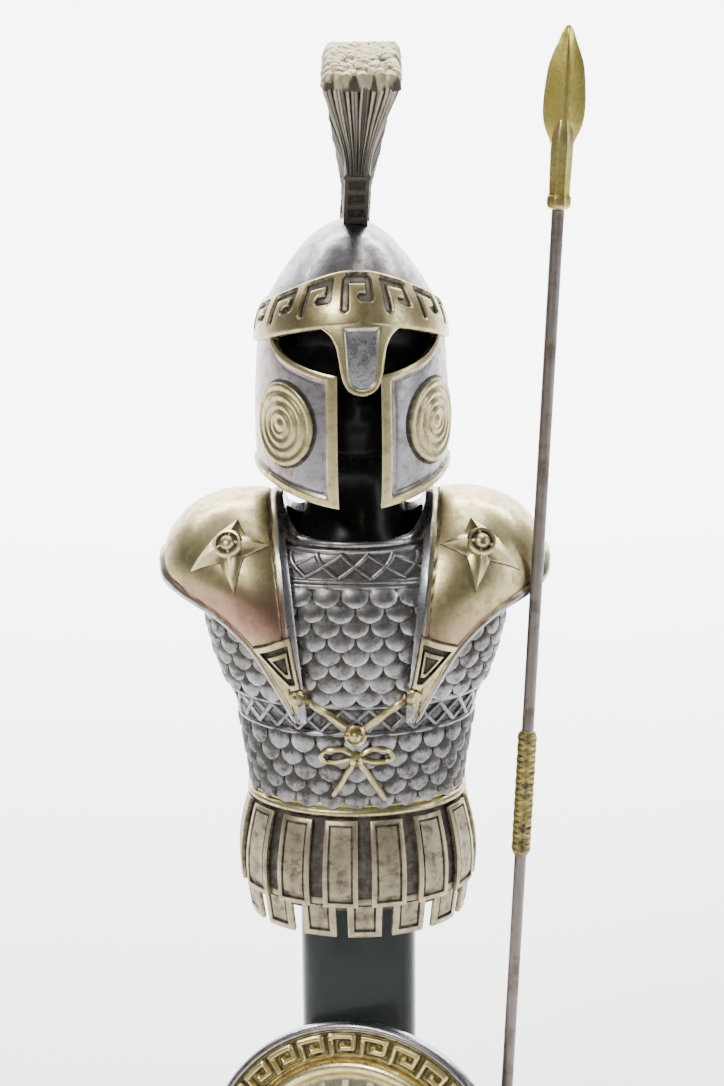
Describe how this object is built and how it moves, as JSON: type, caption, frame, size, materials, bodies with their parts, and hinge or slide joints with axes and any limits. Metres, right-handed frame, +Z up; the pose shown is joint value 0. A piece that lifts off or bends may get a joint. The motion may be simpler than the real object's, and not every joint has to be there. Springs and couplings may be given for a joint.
{
  "type": "spartan warrior figurine",
  "caption": "Table figurine of an empty Greek suit of armour: crested helmet and scaled cuirass on a black bust and post, with a leaning spear and a round shield.",
  "frame": {"origin": "centre of the underside of the plinth, on the surface that the figurine stands on", "axes": "+Z up along the post, -Y the way the figure faces, +X the side where the spear stands"},
  "size_m": [0.12, 0.1, 0.3086],
  "materials": {
    "gloss_black": "gloss",
    "antique_silver": "antiqued silver plate, dark patina in the hollows",
    "antique_gold": "pale antiqued gold plate, dark patina in the hollows",
    "crest_hair": "dark brown casting with rubbed gold tips",
    "shaft_steel": "worn satin"
  },
  "bodies": {
    "root": {"plinth": "gloss_black", "post": "gloss_black", "bust": "gloss_black", "cuirass": "antique_silver", "helmet": "antique_silver", "crest": "crest_hair", "shield": "antique_gold", "spear_shaft": "shaft_steel", "spear_grip": "antique_gold", "spear_head": "antique_gold"}
  },
  "joints": []
}
